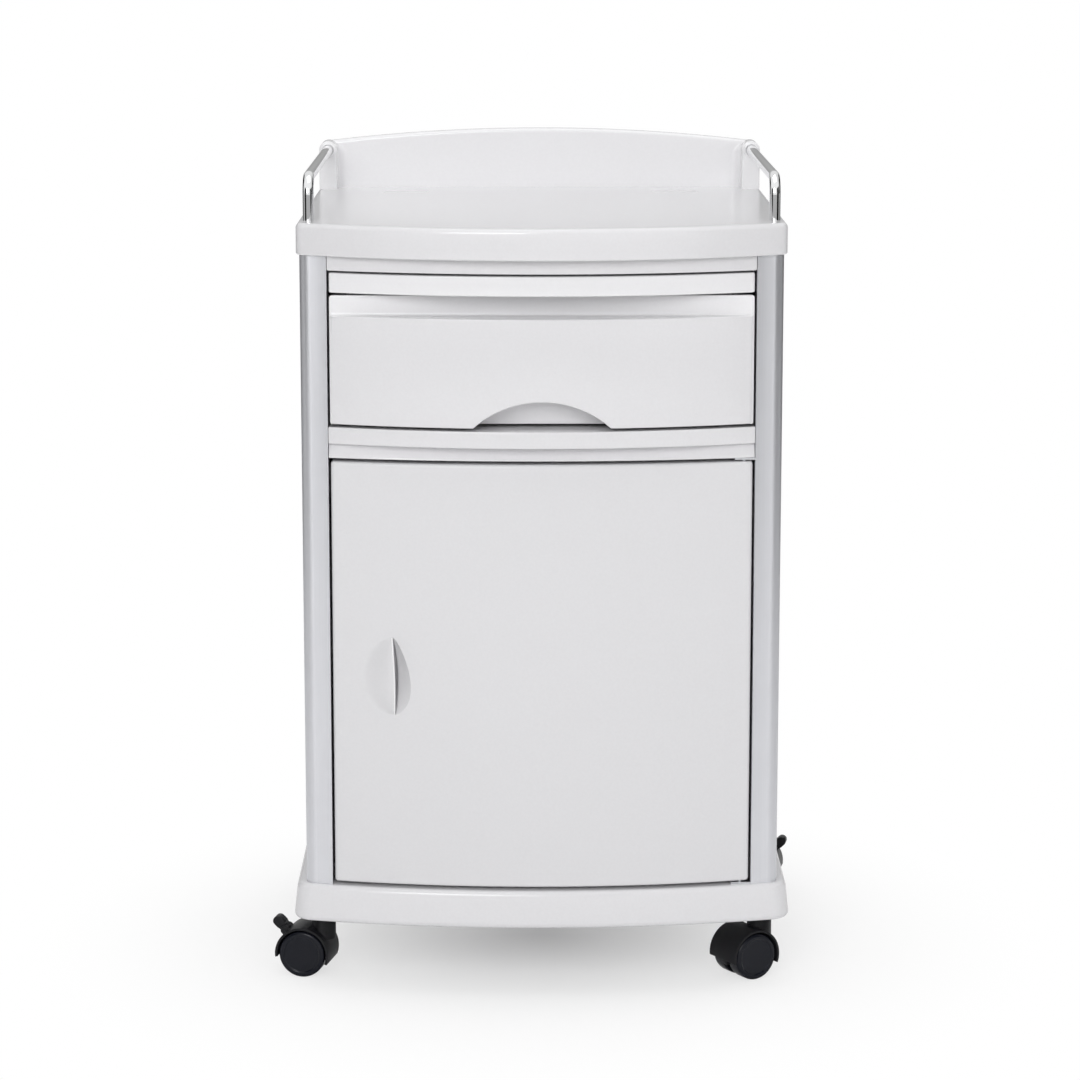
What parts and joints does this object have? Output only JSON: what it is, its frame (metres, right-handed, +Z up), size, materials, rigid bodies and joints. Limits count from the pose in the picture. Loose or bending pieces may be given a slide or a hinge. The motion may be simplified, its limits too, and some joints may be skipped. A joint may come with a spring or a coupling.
{
  "type": "hospital bedside cabinet",
  "caption": "White plastic bedside cabinet on twin-wheel casters, with a bowed door, a drawer, a slide-out board, a tray top and chromed guard rails.",
  "frame": {"origin": "on the floor, under the middle of the cabinet's outline with its brake pedals released", "axes": "+Z up, -Y out of the front with the door and the drawer, +X to the right seen from the front"},
  "size_m": [0.5506, 0.496, 0.8385],
  "materials": {
    "abs_white": "satin moulded ABS",
    "panel_grey": "matte ABS sheet",
    "column_alu": "satin anodised extrusion",
    "rail_chrome": "polished chromed tube",
    "zinc_steel": "zinc plated steel",
    "guide_plastic": "moulded nylon",
    "caster_black": "satin black nylon",
    "wheel_black": "satin black nylon"
  },
  "bodies": {
    "cabinet": {"base": "abs_white", "caster_stems": "zinc_steel", "front_column_left": "column_alu", "front_column_right": "column_alu", "rear_column_left": "column_alu", "rear_column_right": "column_alu", "side_panel_left": "panel_grey", "side_panel_right": "panel_grey", "back_panel": "panel_grey", "top_tray": "abs_white", "back_board": "abs_white", "guard_rail_left": "rail_chrome", "guard_rail_right": "rail_chrome", "top_strip": "abs_white", "divider_rail": "abs_white", "partition": "panel_grey", "board_guides": "guide_plastic", "slide_blocks": "guide_plastic", "drawer_slides": "zinc_steel", "inner_shelf": "panel_grey", "shelf_pegs": "zinc_steel", "magnet_catch": "guide_plastic", "hinge_plates": "zinc_steel"},
    "board": {"slide_out_board": "abs_white"},
    "drawer": {"drawer_plate": "abs_white", "drawer_front": "abs_white", "drawer_box": "panel_grey", "drawer_runners": "zinc_steel", "drawer_screws": "zinc_steel"},
    "door": {"door_skin": "abs_white", "door_liner": "panel_grey", "door_pins": "zinc_steel", "strike_plate": "zinc_steel"},
    "caster_front_left": {"hood_front_left": "caster_black", "axle_front_left": "zinc_steel"},
    "roller_front_left_a": {"wheel_front_left_a": "wheel_black"},
    "roller_front_left_b": {"wheel_front_left_b": "wheel_black"},
    "caster_front_right": {"hood_front_right": "caster_black", "axle_front_right": "zinc_steel"},
    "roller_front_right_a": {"wheel_front_right_a": "wheel_black"},
    "roller_front_right_b": {"wheel_front_right_b": "wheel_black"},
    "caster_rear_left": {"hood_rear_left": "caster_black", "axle_rear_left": "zinc_steel"},
    "roller_rear_left_a": {"wheel_rear_left_a": "wheel_black"},
    "roller_rear_left_b": {"wheel_rear_left_b": "wheel_black"},
    "caster_rear_right": {"hood_rear_right": "caster_black", "axle_rear_right": "zinc_steel"},
    "roller_rear_right_a": {"wheel_rear_right_a": "wheel_black"},
    "roller_rear_right_b": {"wheel_rear_right_b": "wheel_black"},
    "brake_front_left": {"pedal_front_left": "caster_black"},
    "brake_rear_right": {"pedal_rear_right": "caster_black"}
  },
  "joints": [
    {"name": "board_slide", "type": "slide", "parent": "cabinet", "child": "board", "axis": [0, -1, 0], "range_m": [0, 0.28]},
    {"name": "drawer_slide", "type": "slide", "parent": "cabinet", "child": "drawer", "axis": [0, -1, 0], "range_m": [0, 0.29]},
    {"name": "door_hinge", "type": "hinge", "parent": "cabinet", "child": "door", "pos_m": [0.199, -0.18695, 0.327], "axis": [0, 0, 1], "range_deg": [0, 120]},
    {"name": "swivel_front_left", "type": "hinge", "parent": "cabinet", "child": "caster_front_left", "pos_m": [-0.223, -0.132, 0.05], "axis": [0, 0, 1], "continuous": true},
    {"name": "spin_front_left_a", "type": "hinge", "parent": "caster_front_left", "child": "roller_front_left_a", "pos_m": [-0.24061, -0.12826, 0.024], "axis": [0.2079, 0.9781, 0], "continuous": true},
    {"name": "spin_front_left_b", "type": "hinge", "parent": "caster_front_left", "child": "roller_front_left_b", "pos_m": [-0.24061, -0.12826, 0.024], "axis": [0.2079, 0.9781, 0], "continuous": true},
    {"name": "brake_front_left", "type": "hinge", "parent": "caster_front_left", "child": "brake_front_left", "pos_m": [-0.26115, -0.12389, 0.045], "axis": [-0.2079, -0.9781, 0], "range_deg": [0, 20]},
    {"name": "swivel_front_right", "type": "hinge", "parent": "cabinet", "child": "caster_front_right", "pos_m": [0.223, -0.132, 0.05], "axis": [0, 0, 1], "continuous": true},
    {"name": "spin_front_right_a", "type": "hinge", "parent": "caster_front_right", "child": "roller_front_right_a", "pos_m": [0.20774, -0.14154, 0.024], "axis": [-0.5299, 0.848, 0], "continuous": true},
    {"name": "spin_front_right_b", "type": "hinge", "parent": "caster_front_right", "child": "roller_front_right_b", "pos_m": [0.20774, -0.14154, 0.024], "axis": [-0.5299, 0.848, 0], "continuous": true},
    {"name": "swivel_rear_left", "type": "hinge", "parent": "cabinet", "child": "caster_rear_left", "pos_m": [-0.223, 0.19, 0.05], "axis": [0, 0, 1], "continuous": true},
    {"name": "spin_rear_left_a", "type": "hinge", "parent": "caster_rear_left", "child": "roller_rear_left_a", "pos_m": [-0.20774, 0.19954, 0.024], "axis": [0.5299, -0.848, 0], "continuous": true},
    {"name": "spin_rear_left_b", "type": "hinge", "parent": "caster_rear_left", "child": "roller_rear_left_b", "pos_m": [-0.20774, 0.19954, 0.024], "axis": [0.5299, -0.848, 0], "continuous": true},
    {"name": "swivel_rear_right", "type": "hinge", "parent": "cabinet", "child": "caster_rear_right", "pos_m": [0.223, 0.19, 0.05], "axis": [0, 0, 1], "continuous": true},
    {"name": "spin_rear_right_a", "type": "hinge", "parent": "caster_rear_right", "child": "roller_rear_right_a", "pos_m": [0.24061, 0.18626, 0.024], "axis": [-0.2079, -0.9781, 0], "continuous": true},
    {"name": "spin_rear_right_b", "type": "hinge", "parent": "caster_rear_right", "child": "roller_rear_right_b", "pos_m": [0.24061, 0.18626, 0.024], "axis": [-0.2079, -0.9781, 0], "continuous": true},
    {"name": "brake_rear_right", "type": "hinge", "parent": "caster_rear_right", "child": "brake_rear_right", "pos_m": [0.26115, 0.18189, 0.045], "axis": [0.2079, 0.9781, 0], "range_deg": [0, 20]}
  ]
}
